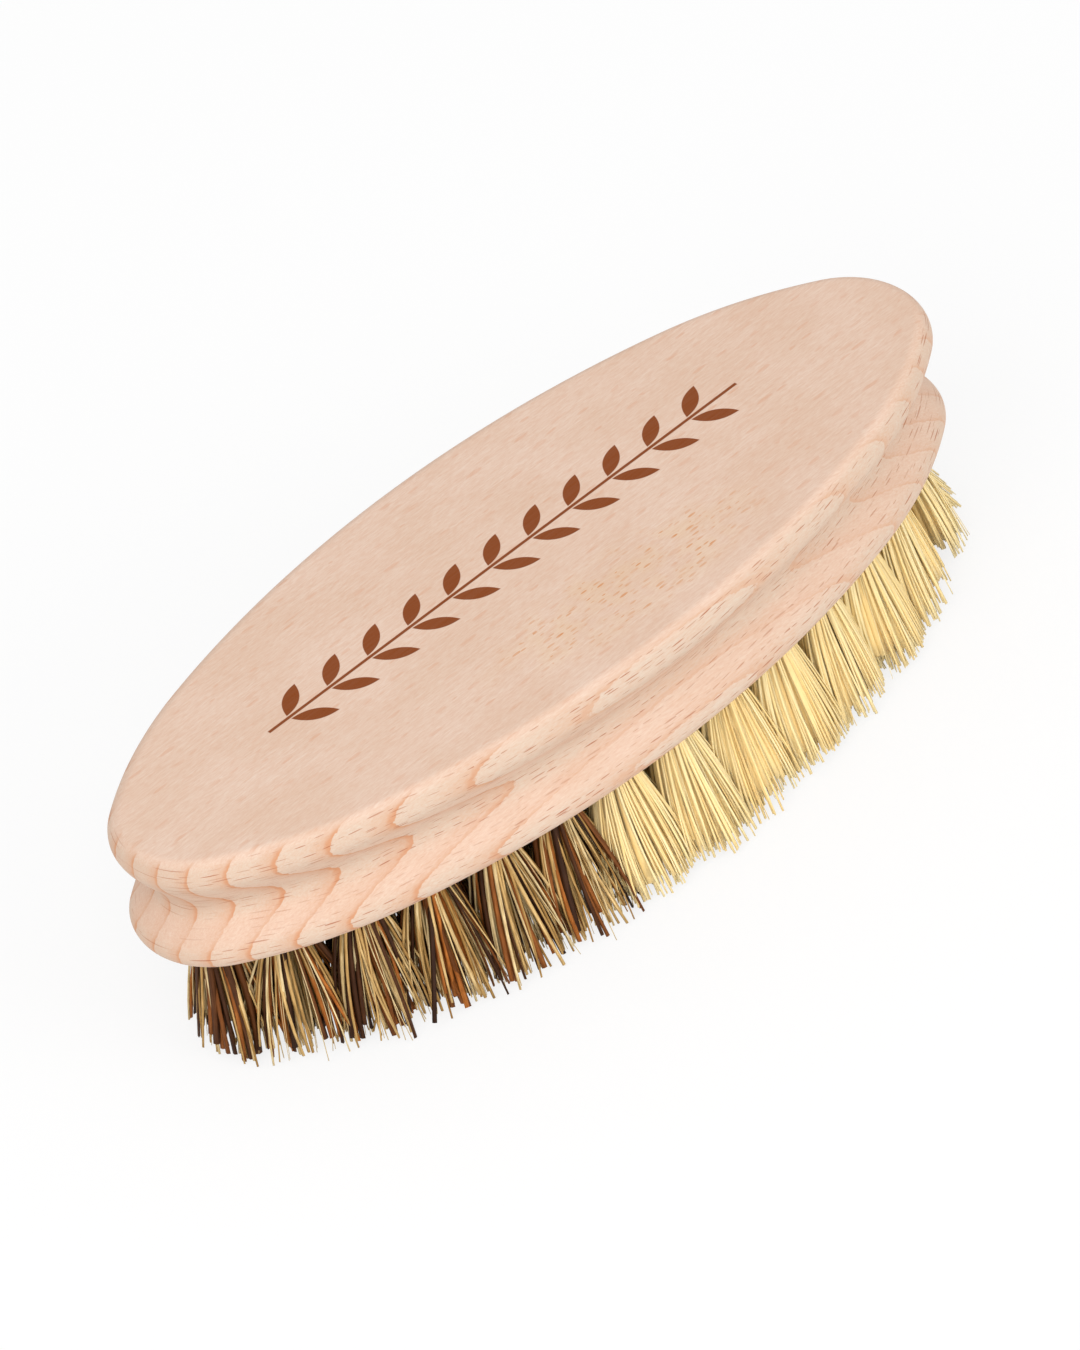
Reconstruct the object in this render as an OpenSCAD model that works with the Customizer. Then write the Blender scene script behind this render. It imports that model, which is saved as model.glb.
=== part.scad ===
// Oval vegetable brush: a beech block with a finger groove, drilled for tufts of two fibres.
// It stands on the tips of its fibres: z = 0 is the surface it stands on, and X is its long axis.

/* [Block] */
// Length of the wooden block
block_l = 135; // [125:1:150]
// Width of the wooden block
block_w = 52; // [49:0.5:54]
// Thickness of the wooden block
block_h = 17.5; // [16:0.5:22]
// Radius of the two blunt ends, seen from above
end_r = 12.5; // [11:0.5:14]

/* [Edge of the block] */
// How far the rounding of the upper rim reaches in
rim_w = 2.3; // [1.5:0.1:3]
// How far the rounding of the upper rim reaches down
rim_h = 3.4; // [2:0.1:4]
// Height of the deepest line of the finger groove above the underside
groove_z = 8.4; // [7.5:0.1:9.5]
// Depth of the finger groove
groove_depth = 4.8; // [3:0.1:5.2]
// How far the lower edge stands back from the upper rim
foot_inset = 0.6; // [0:0.1:1]
// How far the rounding of the lower edge reaches in
foot_w = 2.6; // [1:0.1:3.5]
// How far the rounding of the lower edge reaches up
foot_h = 2.6; // [1:0.1:4]

/* [Rows of holes] */
// Distance from the sides of the block to the outer row of holes
outer_inset = 6.8; // [6:0.1:8]
// Distance from the ends of the block to the outer row of holes
outer_end_inset = 9.5; // [8:0.1:12]
// Distance from the outer row to the inner row, at the sides
row_gap = 9; // [8.6:0.1:9.6]
// Distance from the outer row to the inner row, at the ends
row_end_gap = 10; // [9:0.1:12]
// Number of tufts in the outer row
outer_count = 27; // [23:1:28]
// Number of tufts in the inner row
inner_count = 20; // [16:2:20]
// Number of tufts in the middle row
middle_count = 6; // [4:1:6]
// Distance between neighbours in the middle row
middle_pitch = 10.8; // [10:0.1:11.5]
// Place along X where the stiff fibre gives way to the soft fibre
stiff_end = -12; // [-40:1:40]

/* [Holes] */
// Diameter of the drilled holes
hole_d = 5.4; // [5:0.1:5.6]
// Depth of the drilled holes
hole_depth = 11; // [9:0.5:12]
// Outward lean of the holes in the outer row, in degrees
outer_lean = 10; // [0:1:12]
// Outward lean of the holes in the inner row, in degrees
inner_lean = 5; // [0:1:6]

/* [Fibres] */
// Free length of the fibres below the block
fibre_l = 18; // [12:0.5:26]
// Thickness of a strand where it leaves the block
root_t = 1.15; // [0.8:0.05:1.2]
// Thickness of a strand at its tip
tip_t = 1.4; // [0.6:0.05:1.6]
// Number of strands around the middle strand of a tuft
strand_ring = 7; // [6:1:8]
// Distance from the middle strand to the strands around it, at the root
strand_ring_r = 1.8; // [1.7:0.05:1.9]
// How much wider a tuft is at its tips than at its root
splay_ratio = 1.9; // [1.2:0.05:2]
// Extra outward bend of the tips of the outer row
tip_bend = 1; // [0:0.1:1.5]

/* [Staples] */
// Diameter of the staple wire
wire_d = 0.8; // [0.6:0.05:1]
// Distance between the legs of a staple, centre to centre
staple_w = 4.2; // [3.8:0.1:4.2]
// Distance from the bottom of the hole to the bridge of the staple
staple_seat = 2.2; // [1.6:0.1:3]
// How deep the legs are driven into the wood
staple_grip = 2.4; // [1.5:0.1:2.6]

/* [Fits] */
// Clearance round a tuft in its hole
tuft_clearance = 0.1; // [0.05:0.01:0.2]
// Clearance round a staple
staple_clearance = 0.05; // [0.03:0.01:0.1]

/* [Hidden] */
// Depth of the slice that the flat cut takes off the tips
tip_cut = 0.5;
// Length of strand that is bound into the root of its tuft
bound_l = 0.8;
// How far the bound root stands out of its hole
root_out = 0.6;
// Points on the rounding of the rim and the lower edge, and on each half of the groove
edge_steps = 5;
groove_steps = 7;
// Points on each end, shoulder and side arc of a quarter of the block's outline
end_steps = 12;
shoulder_steps = 9;
side_steps = 9;
// Overlap that makes a cut run clear of a face
clear = 1;
// Sides of a strand
strand_sides = 4;
// Depth, as a share of the fibre's length, at which a strand is bent
bend_at = 0.45;

top_z = fibre_l + block_h;
half_l = block_l / 2;
half_w = block_w / 2;

// The block's outline is an oval of arcs that meet without a corner: end arcs, shoulder arcs
// and side arcs. They meet in the directions of the 3-4-5 triangle and of the 7-24-25 triangle,
// and the two other radii follow from the end radius, the length and the width.
end_dir = [3 / 5, 4 / 5];
side_dir = [7 / 25, 24 / 25];
rest_l = half_l - end_r;
rest_w = half_w - end_r;
oval_det = side_dir.x * (1 - end_dir.y) - end_dir.x * (1 - side_dir.y);
shoulder_step = (side_dir.x * rest_w - (1 - side_dir.y) * rest_l) / oval_det;
side_step = ((1 - end_dir.y) * rest_l - end_dir.x * rest_w) / oval_det;
shoulder_r = end_r + shoulder_step;
side_r = shoulder_r + side_step;
end_centre = [rest_l, 0];
shoulder_centre = end_centre - shoulder_step * end_dir;
side_centre = [0, shoulder_centre.y - side_step * side_dir.y];

// The edge section: [distance outside the oval, height above the underside], from the bottom up.
// The lower edge and the rim are quarter ellipses, and the groove is two half waves between them.
rim_z = block_h - rim_h;
function wave(t) = (1 - cos(180 * t)) / 2;
foot_points = [for (i = [0:edge_steps])
    let (turn = 90 * i / edge_steps)
    [-foot_inset - foot_w * (1 - sin(turn)), foot_h * (1 - cos(turn))]];
groove_low = [for (i = [1:groove_steps])
    let (t = i / groove_steps)
    [-foot_inset - (groove_depth - foot_inset) * wave(t), foot_h + (groove_z - foot_h) * t]];
groove_high = [for (i = [1:groove_steps])
    let (t = i / groove_steps) [-groove_depth * (1 - wave(t)), groove_z + (rim_z - groove_z) * t]];
rim_points = [for (i = [1:edge_steps])
    let (turn = 90 * i / edge_steps) [-rim_w * (1 - cos(turn)), rim_z + rim_h * sin(turn)]];
// It runs on past both faces, which one slab then cuts flat.
edge_points = concat(
    [[foot_points[0].x, -clear]],
    foot_points,
    groove_low,
    groove_high,
    rim_points,
    [[-rim_w, block_h + clear]]);

// A point on the outline, or at a distance outside it, from the direction that it faces
function outline_at(turn, out) = let (
    dir = [cos(turn), sin(turn)],
    arc = abs(dir.y) < end_dir.y ? [end_centre, end_r]
        : abs(dir.y) < side_dir.y ? [shoulder_centre, shoulder_r]
        : [side_centre, side_r])
    [sign(dir.x) * arc[0].x, sign(dir.y) * arc[0].y] + (arc[1] + out) * dir;

// Directions of the outline's points: a quarter turn, its mirror image, and both again
function steps_between(from, to, count) = [for (i = [0:count - 1]) from + (to - from) * i / count];
end_turn = atan2(end_dir.y, end_dir.x);
side_turn = atan2(side_dir.y, side_dir.x);
quarter = concat(
    steps_between(0, end_turn, end_steps),
    steps_between(end_turn, side_turn, shoulder_steps),
    steps_between(side_turn, 90, side_steps));
half_round = concat(quarter, [90], [for (i = [len(quarter) - 1:-1:1]) 180 - quarter[i]]);
outline_turns = concat(half_round, [for (turn = half_round) 180 + turn]);

// Rows of holes: points at even steps along an ellipse, as [x, y, direction outwards]
row_steps = 360;
function ellipse_at(half, turn) = [half.x * cos(turn), half.y * sin(turn)];
function row_table(half) = [for (
    i = 0, run = 0;
    i <= row_steps;
    run = run + norm(ellipse_at(half, (i + 1) * 360 / row_steps) - ellipse_at(half, i * 360 / row_steps)),
    i = i + 1) [run, i * 360 / row_steps]];
function ellipse_row(half, count, phase) = let (
    table = row_table(half),
    whole = table[row_steps][0])
    [for (k = [0:count - 1]) let (
        turn = lookup((k + phase) * whole / count, table),
        p = ellipse_at(half, turn))
        [p.x, p.y, atan2(half.x * sin(turn), half.y * cos(turn))]];

outer_half = [half_l - outer_end_inset, half_w - outer_inset];
inner_half = outer_half - [row_end_gap, row_gap];
outer_row = ellipse_row(outer_half, outer_count, 0.5);
inner_row = ellipse_row(inner_half, inner_count, 0);
middle_row = [for (k = [0:middle_count - 1]) [(k - (middle_count - 1) / 2) * middle_pitch, 0, 0]];

// Every tuft: [x, y, direction of its lean, lean, extra bend of its tips, name]
function two_digits(k) = str(k < 10 ? "0" : "", k);
function row_tufts(row, lean, bend, label) = [for (k = [0:len(row) - 1])
    [row[k].x, row[k].y, row[k].z, lean, bend, str(label, "_tuft_", two_digits(k + 1))]];
tufts = concat(
    row_tufts(outer_row, outer_lean, tip_bend, "outer"),
    row_tufts(inner_row, inner_lean, tip_bend / 2, "inner"),
    row_tufts(middle_row, 0, 0, "middle"));

tuft_d = hole_d - 2 * tuft_clearance;
plug_top = hole_depth - tuft_clearance;
bridge_z = hole_depth - staple_seat;

// Middle of a strand at a depth below the block. At every depth the strands of a tuft are
// a scaled copy of their places at the root, so that no two of them cross.
function strand_at(tuft, place, depth) = let (
    out = [cos(tuft[2]), sin(tuft[2])],
    lean = depth * tan(tuft[3]) + tuft[4] * pow(max(depth, 0) / fibre_l, 2),
    spread = 1 + (splay_ratio - 1) * depth / fibre_l)
    [tuft[0], tuft[1]] + lean * out + spread * place;

function strand_ring_points(centre, z, t, turn) = [for (i = [0:strand_sides - 1])
    let (a = turn + i * 360 / strand_sides) [centre.x + t / 2 * cos(a), centre.y + t / 2 * sin(a), z]];

// Faces of a prism of stacked rings, all triangles, with a fan over each end
function side_faces(levels, n) = [for (k = [0:levels - 2]) for (i = [0:n - 1]) for (half = [0, 1])
    let (j = (i + 1) % n, low = k * n, high = (k + 1) * n)
    half == 0 ? [low + i, low + j, high + j] : [low + i, high + j, high + i]];
function end_faces(levels, n) = [for (i = [1:n - 2]) for (side = [0, 1])
    let (last = (levels - 1) * n) side == 0 ? [0, i + 1, i] : [last, last + i, last + i + 1]];

// The block before it is drilled, standing on z = 0: its edge section carried round the outline
module blank() {
    levels = len(edge_points);
    count = len(outline_turns);
    rings = [for (k = [levels - 1:-1:0]) [for (turn = outline_turns)
        concat(outline_at(turn, edge_points[k].x), [edge_points[k].y])]];
    intersection() {
        polyhedron(
            [for (ring = rings) each ring],
            concat(side_faces(levels, count), end_faces(levels, count)));
        translate([-block_l, -block_w, 0]) cube([2 * block_l, 2 * block_w, block_h]);
    }
}

// Places its children in the frame of a tuft's hole: its mouth at the origin, its depth along +Z
module at_hole(tuft) {
    translate([tuft[0], tuft[1], fibre_l])
        rotate([0, 0, tuft[2]])
            rotate([0, -tuft[3], 0])
                children();
}

// Legs of a staple, or with room to spare the cuts that take them
module staple_legs(d, top) {
    for (side = [-1, 1])
        translate([0, side * staple_w / 2, bridge_z])
            cylinder(h = top - bridge_z, d = d, $fn = 24);
}

module staple_bridge(d) {
    translate([0, 0, bridge_z])
        rotate([90, 0, 0])
            cylinder(h = staple_w, d = d, center = true, $fn = 24);
}

// A drilled hole with its pointed bottom and the two cuts that the staple's legs have made
module hole() {
    translate([0, 0, -2 * clear]) cylinder(h = hole_depth + 2 * clear, d = hole_d, $fn = 48);
    staple_legs(wire_d + 2 * staple_clearance, hole_depth + staple_grip + staple_clearance);
}

module block() {
    color("BurlyWood")
        difference() {
            translate([0, 0, fibre_l]) blank();
            for (tuft = tufts) at_hole(tuft) hole();
        }
}

// A bent wire staple: its bridge lies in the fold of the tuft, its legs are driven into the wood
module staple() {
    staple_bridge(wire_d);
    staple_legs(wire_d, hole_depth + staple_grip);
    for (side = [-1, 1])
        translate([0, side * staple_w / 2, bridge_z]) sphere(d = wire_d, $fn = 24);
}

module staples() {
    color("Silver")
        for (tuft = tufts) at_hole(tuft) staple();
}

// The folded root of a tuft, packed into its hole, with room for its staple
module bound_root() {
    difference() {
        translate([0, 0, -root_out]) cylinder(h = plug_top + root_out, d = tuft_d, $fn = 48);
        staple_bridge(wire_d + 2 * staple_clearance);
        staple_legs(wire_d + 2 * staple_clearance, hole_depth);
        for (side = [-1, 1])
            translate([0, side * staple_w / 2, bridge_z])
                sphere(d = wire_d + 2 * staple_clearance, $fn = 24);
    }
}

module strand(tuft, place, turn) {
    depths = [-bound_l, bend_at * fibre_l, fibre_l + tip_cut];
    rings = [for (k = [0:len(depths) - 1]) strand_ring_points(
        strand_at(tuft, place, depths[k]),
        fibre_l - depths[k],
        root_t + (tip_t - root_t) * max(depths[k], 0) / fibre_l,
        turn)];
    polyhedron(
        [for (ring = rings) each ring],
        concat(side_faces(len(depths), strand_sides), end_faces(len(depths), strand_sides)));
}

// A tuft: strands that spread from one bound root, cut flat at the surface it stands on
module tuft_strands(tuft) {
    shade = tuft[0] < stiff_end ? "Sienna" : "Khaki";
    color(shade)
        difference() {
            union() {
                at_hole(tuft) bound_root();
                strand(tuft, [0, 0], tuft[2]);
                for (i = [0:strand_ring - 1])
                    let (turn = tuft[2] + i * 360 / strand_ring)
                        strand(tuft, strand_ring_r * [cos(turn), sin(turn)], turn);
            }
            translate([-block_l, -block_w, -2 * tip_cut])
                cube([2 * block_l, 2 * block_w, 2 * tip_cut]);
        }
}

block();
staples();
for (tuft = tufts)
    tuft_strands(tuft);
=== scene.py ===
# %% [markdown]
# # An oval vegetable brush
# A beech block with a finger groove, drilled for 53 tufts. The tufts at one end are a stiff
# mixture of brown and straw fibres, and the others are soft and pale yellow. The exact model of
# the brush is loaded first, as a fixed frame, and every surface made here is worked out in
# metres at the place that the frame gives it. Three things make such a brush look real: the soft
# section of the moulded block, the figure of the wood, and thousands of single fibres.

# %% Load the frame
import math

import bpy
import numpy as np
from mathutils import Matrix, Vector


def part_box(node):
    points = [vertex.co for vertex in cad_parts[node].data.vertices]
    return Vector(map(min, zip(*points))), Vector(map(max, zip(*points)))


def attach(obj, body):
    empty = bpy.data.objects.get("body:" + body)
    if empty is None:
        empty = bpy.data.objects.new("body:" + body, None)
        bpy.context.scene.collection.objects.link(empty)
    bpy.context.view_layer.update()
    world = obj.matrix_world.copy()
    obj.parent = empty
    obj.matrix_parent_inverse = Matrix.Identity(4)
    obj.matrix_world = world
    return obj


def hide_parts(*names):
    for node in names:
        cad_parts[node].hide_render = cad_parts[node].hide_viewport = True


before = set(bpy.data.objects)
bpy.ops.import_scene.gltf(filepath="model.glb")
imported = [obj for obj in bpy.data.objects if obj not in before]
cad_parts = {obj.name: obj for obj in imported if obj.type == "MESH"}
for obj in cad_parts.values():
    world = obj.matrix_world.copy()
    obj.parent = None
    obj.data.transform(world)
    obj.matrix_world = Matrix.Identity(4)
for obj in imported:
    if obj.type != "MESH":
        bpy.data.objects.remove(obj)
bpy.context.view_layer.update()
MM = 0.001
print("nodes in the frame:", len(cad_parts))

# %% [markdown]
# ## Camera
# A product shot has a long lens and a camera far away, so that both ends of the brush are drawn
# at nearly the same scale. The camera could be placed by eye, but this one was fitted to the
# outline of the block: two angles, a roll, and a scale in pixels to the millimetre. Scale and
# distance give the focal length, because the picture is 1350 pixels high and stands for a sensor
# 36 mm high.

# %% Place the camera
PICTURE_H = 1350
SENSOR_H = 36.0
PIXELS_PER_MM = 7.97
CAMERA_DISTANCE = 2500 * MM
CAMERA_TURN = math.radians(-35.6)
CAMERA_RISE = math.radians(39.1)
CAMERA_ROLL = math.radians(-12.65)
CLIP_NEAR, CLIP_FAR = 0.1, 20
LOOK_AT = Vector((0, 0, 18 * MM))
SLIDE_RIGHT = -0.53 * MM
SLIDE_UP = -0.44 * MM


def add_object(name, data):
    """A new object in the scene, at the origin, with its mesh, lamp or camera."""
    made = bpy.data.objects.new(name, data)
    bpy.context.scene.collection.objects.link(made)
    return made


backward = Vector((
    math.sin(CAMERA_TURN) * math.cos(CAMERA_RISE),
    -math.cos(CAMERA_TURN) * math.cos(CAMERA_RISE),
    math.sin(CAMERA_RISE)))
level_right = Vector((math.cos(CAMERA_TURN), math.sin(CAMERA_TURN), 0))
level_up = backward.cross(level_right)
view_right = level_right * math.cos(CAMERA_ROLL) + level_up * math.sin(CAMERA_ROLL)
view_up = backward.cross(view_right)

camera = add_object("camera", bpy.data.cameras.new("camera"))
camera.data.sensor_fit = "VERTICAL"
camera.data.sensor_height = SENSOR_H
camera.data.lens = PIXELS_PER_MM / MM * CAMERA_DISTANCE * SENSOR_H / PICTURE_H
camera.data.clip_start = CLIP_NEAR
camera.data.clip_end = CLIP_FAR
stand = LOOK_AT + backward * CAMERA_DISTANCE + view_right * SLIDE_RIGHT + view_up * SLIDE_UP
turn = Matrix((view_right, view_up, backward)).transposed()
camera.matrix_world = Matrix.Translation(stand) @ turn.to_4x4()
bpy.context.scene.camera = camera
print("lens in mm:", round(camera.data.lens, 1))

# %% [markdown]
# ## Helpers for meshes and nodes
# A mesh can be built face by face, but the fibres have hundreds of thousands of faces, so every
# new piece is first an array of points and an array of four-sided faces. A grid that closes on
# itself in one direction makes tubes and rings, and the rule for its faces serves the block and
# every fibre. Nodes get short names, so that a material reads as the sum that it is.

# %% Helpers for meshes
def grid_quads(rows, columns):
    """Faces of a grid that closes on itself along its columns: each joins two neighbours in one
    row to the same two in the next row."""
    row, column = np.meshgrid(np.arange(rows - 1), np.arange(columns), indexing="ij")
    after = (column + 1) % columns
    corners = [row * columns + column, row * columns + after,
               (row + 1) * columns + after, (row + 1) * columns + column]
    return np.stack(corners, -1).reshape(-1, 4)


def mesh_object(name, points, quads, smooth=True):
    """A mesh object at the origin from an array of points and an array of four-sided faces."""
    mesh = bpy.data.meshes.new(name)
    mesh.vertices.add(len(points))
    mesh.vertices.foreach_set("co", np.asarray(points, np.float32).ravel())
    mesh.loops.add(quads.size)
    mesh.loops.foreach_set("vertex_index", np.asarray(quads, np.int32).ravel())
    mesh.polygons.add(len(quads))
    mesh.polygons.foreach_set("loop_start", np.arange(0, quads.size, 4, dtype=np.int32))
    mesh.polygons.foreach_set("use_smooth", np.full(len(quads), smooth))
    mesh.update(calc_edges=True)
    return add_object(name, mesh)


print("faces of a tube of 3 rings of 4:", len(grid_quads(3, 4)))

# %% Helpers for nodes
NODE_STEP = 180


def linear(red, green, blue):
    """A colour as the eye reads it, 0 to 255, turned into the linear light that shaders use: its
    share of 255 nearly to the power 2.4, with a straight line for the darkest tones."""
    seen = np.array([red, green, blue]) / 255
    light = np.where(seen <= 0.04045, seen / 12.92, ((seen + 0.055) / 1.055) ** 2.4)
    return (*light.tolist(), 1.0)


class Wiring:
    """Short names for adding nodes to one tree and joining their sockets."""

    def __init__(self, tree):
        self.tree = tree
        self.column = 0

    def feed(self, node, inputs):
        """Inputs of a node, each set to a value or joined to a socket."""
        for key, value in inputs.items():
            if isinstance(value, bpy.types.NodeSocket):
                self.tree.links.new(value, node.inputs[key])
            else:
                node.inputs[key].default_value = value

    def node(self, kind, inputs=None, **settings):
        """A new node with its settings and its inputs."""
        made = self.tree.nodes.new(kind)
        self.column += 1
        made.location = (NODE_STEP * self.column, 0)
        for key, value in settings.items():
            setattr(made, key, value)
        self.feed(made, inputs or {})
        return made

    def group(self, tree, **inputs):
        """The outputs of a shared group that is placed in this tree."""
        return self.node("ShaderNodeGroup", inputs, node_tree=tree).outputs

    def math(self, operation, a, b=0.0, c=0.0):
        """One operation on up to three values."""
        return self.node("ShaderNodeMath", {0: a, 1: b, 2: c}, operation=operation).outputs[0]

    def times(self, a, b):
        """One value times another."""
        return self.math("MULTIPLY", a, b)

    def line(self, value, slope, start):
        """A value times a slope, plus a start."""
        return self.math("MULTIPLY_ADD", value, slope, start)

    def vector(self, operation, a, b):
        """One operation on two vectors, done for each of their three numbers."""
        return self.node("ShaderNodeVectorMath", {0: a, 1: b}, operation=operation).outputs[0]

    def length(self, vector):
        """How long a vector is."""
        made = self.node("ShaderNodeVectorMath", {0: vector}, operation="LENGTH")
        return made.outputs["Value"]

    def join(self, x, y, z):
        """A vector from three numbers."""
        return self.node("ShaderNodeCombineXYZ", {0: x, 1: y, 2: z}).outputs[0]

    def split(self, vector):
        """The three numbers of a vector."""
        return self.node("ShaderNodeSeparateXYZ", {0: vector}).outputs

    def noise(self, place, scale, detail, roughness=0.5):
        """Smooth noise round one half, at a scale, with finer noise added detail times."""
        inputs = {"Vector": place, "Scale": scale, "Detail": detail, "Roughness": roughness}
        return self.node("ShaderNodeTexNoise", inputs).outputs[0]

    def step(self, value, low, high):
        """0 at one bound and 1 at the other, with a soft ramp between them. The bounds may be
        given in falling order."""
        inputs = {"Value": value, "From Min": low, "From Max": high}
        made = self.node("ShaderNodeMapRange", inputs, interpolation_type="SMOOTHSTEP")
        return made.outputs["Result"]

    def mix(self, share, a, b, blend="MIX"):
        """Two colours mixed by a share: sockets 0, 6 and 7 of the node when it mixes colours."""
        inputs = {0: share, 6: a, 7: b}
        return self.node("ShaderNodeMix", inputs, data_type="RGBA", blend_type=blend).outputs[2]

    def surface(self):
        """The place on a piece in millimetres, and the direction that the surface faces."""
        where = self.node("ShaderNodeTexCoord").outputs
        inputs = {0: where["Object"], 3: 1 / MM}
        place = self.node("ShaderNodeVectorMath", inputs, operation="SCALE").outputs[0]
        return place, where["Normal"]


def new_material(name):
    """A material with its Principled shader, and the wiring of its tree."""
    material = bpy.data.materials.new(name)
    material.use_nodes = True
    shader = material.node_tree.nodes["Principled BSDF"]
    return material, shader, Wiring(material.node_tree)


def new_group(name, inputs, outputs):
    """A shader node group with named inputs, given as (kind, default), and named outputs."""
    tree = bpy.data.node_groups.new(name, "ShaderNodeTree")
    for label, (kind, default) in inputs.items():
        socket = tree.interface.new_socket(label, in_out="INPUT", socket_type=kind)
        socket.default_value = default
    for label, kind in outputs.items():
        tree.interface.new_socket(label, in_out="OUTPUT", socket_type=kind)
    wiring = Wiring(tree)
    return tree, wiring, wiring.node("NodeGroupInput").outputs, wiring.node("NodeGroupOutput")


print("half of white, as light:", round(linear(128, 128, 128)[0], 3))

# %% [markdown]
# ## The block's shape
# The real block is shaped on a spindle moulder: one cutter profile is run round an oval. A cube
# could be pushed into that shape, but its edge would never run evenly, so the block is computed
# as it is cut. The oval is made of arcs that meet without a corner, and each of its points knows
# the direction that it faces. The section says how far outside the oval the surface lies and at
# what height, from the underside up: the rounded lower edge, the finger groove in two half
# waves, and the rounded upper rim.

# %% The oval
block_low, block_high = (np.array(corner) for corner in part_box("block"))
HALF_L, HALF_W = (block_high - block_low)[:2] / 2
BASE_Z, TOP_Z = block_low[2], block_high[2]
# Radius of the two ends, and the directions in which the arcs of end, shoulder and side meet
END_R = 12.5 * MM
END_DIR = np.array([3, 4]) / 5
SIDE_DIR = np.array([7, 24]) / 25
rest = np.array([HALF_L - END_R, HALF_W - END_R])
slopes = np.array([[END_DIR[0], SIDE_DIR[0]], [1 - END_DIR[1], 1 - SIDE_DIR[1]]])
shoulder_step, side_step = np.linalg.solve(slopes, rest)
SHOULDER_R = END_R + shoulder_step
SIDE_R = SHOULDER_R + side_step
end_centre = np.array([rest[0], 0])
shoulder_centre = end_centre - shoulder_step * END_DIR
side_centre = shoulder_centre - side_step * SIDE_DIR
POINTS_ROUND = 520


def oval(turn, out):
    """Points of the oval: the centre of the arc that faces a direction, plus the arc's radius
    and a distance outside it, along that direction."""
    facing = np.stack([np.cos(turn), np.sin(turn)], -1)
    steep = np.abs(facing[..., 1])
    on_end = (steep < END_DIR[1])[..., None]
    on_shoulder = (steep < SIDE_DIR[1])[..., None]
    centre = np.where(on_end, end_centre, np.where(on_shoulder, shoulder_centre, side_centre))
    radius = np.where(on_end, END_R, np.where(on_shoulder, SHOULDER_R, SIDE_R))
    return np.sign(facing) * centre + facing * (radius + out[..., None])


def even_turns(count):
    """Directions whose points lie at even distances round the oval: arc length is radius times
    turn, so the table of lengths at the joints of the arcs is read backwards."""
    end_turn = math.atan2(END_DIR[1], END_DIR[0])
    side_turn = math.atan2(SIDE_DIR[1], SIDE_DIR[0])
    quarter = np.array([0, end_turn, side_turn, math.pi / 2])
    joints = np.concatenate([quarter, math.pi - quarter[-2::-1]])
    joints = np.concatenate([joints, math.pi + joints[1:]])
    radii = np.array([END_R, SHOULDER_R, SIDE_R, SIDE_R, SHOULDER_R, END_R] * 2)
    lengths = np.concatenate([[0], np.cumsum(radii * np.diff(joints))])
    return np.interp(np.arange(count) / count * lengths[-1], lengths, joints), lengths[-1]


turns, oval_length = even_turns(POINTS_ROUND)
print("radii in mm:", [round(float(r) / MM, 2) for r in (END_R, SHOULDER_R, SIDE_R)])
print("round the block in mm:", round(oval_length / MM, 1))

# %% The edge section
RIM_W, RIM_H = 2.1 * MM, 2.7 * MM
GROOVE_Z, GROOVE_DEPTH = 7.5 * MM, 4.3 * MM
GROOVE_TILT = 0.8 * MM
FOOT_INSET, FOOT_W, FOOT_H = 0.35 * MM, 1.9 * MM, 2.1 * MM
ROUND_STEPS, GROOVE_STEPS = 16, 26


def edge_section(round_steps, groove_steps):
    """The section from the underside up, as distances outside the oval and heights: two quarter
    ellipses with a valley between them that falls and rises as half a cosine wave each."""
    quarter = np.linspace(0, math.pi / 2, round_steps)
    wave = (1 - np.cos(np.linspace(0, math.pi, groove_steps))) / 2
    rise = np.linspace(0, 1, groove_steps)
    rim_z = TOP_Z - BASE_Z - RIM_H
    foot = np.stack([-FOOT_INSET - FOOT_W * (1 - np.sin(quarter)), FOOT_H * (1 - np.cos(quarter))])
    low = np.stack([-FOOT_INSET - (GROOVE_DEPTH - FOOT_INSET) * wave,
                    FOOT_H + (GROOVE_Z - FOOT_H) * rise])
    high = np.stack([-GROOVE_DEPTH * (1 - wave), GROOVE_Z + (rim_z - GROOVE_Z) * rise])
    rim = np.stack([-RIM_W * (1 - np.cos(quarter)), rim_z + RIM_H * np.sin(quarter)])
    return np.concatenate([foot[:, :-1], low[:, :-1], high[:, :-1], rim], axis=1)


section_out, section_z = edge_section(ROUND_STEPS, GROOVE_STEPS)
print("points in the section:", len(section_out))

# %% [markdown]
# ## The block's mesh
# The rings of the section close round the oval. A face with hundreds of corners could close the
# flat back and underside, but it would be shaded badly, so the rings are drawn in towards the
# middle. The first lies only a hair inside, so that the smooth shading of the rounded edge stops
# exactly where the flat begins.

# %% Carry the section round the oval
FLAT_SHARES = np.array([0.985, 0.8, 0.5, 0.2])


def block_points():
    """One ring for each point of the section, and for each face of the block rings that are the
    last one scaled down towards the middle. The groove runs a little higher at one end: a ring
    rises by the cosine of its turn, times the share of the groove's depth that it lies at."""
    rings = []
    for out, z in zip(section_out, BASE_Z + section_z):
        in_groove = np.clip((-out - FOOT_INSET) / (GROOVE_DEPTH - FOOT_INSET), 0, 1)
        tilt = GROOVE_TILT * in_groove * (BASE_Z + FOOT_H < z < TOP_Z - RIM_H)
        rings.append(np.column_stack([
            oval(turns, np.full(len(turns), out)), z + tilt * np.cos(turns)]))
    flat = np.array([1, 1, 0])
    level = np.array([0, 0, 1])
    under = [rings[0] * (share * flat + level) for share in FLAT_SHARES[::-1]]
    over = [rings[-1] * (share * flat + level) for share in FLAT_SHARES]
    return np.concatenate(under + rings + over), len(under) + len(rings) + len(over)


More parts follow.
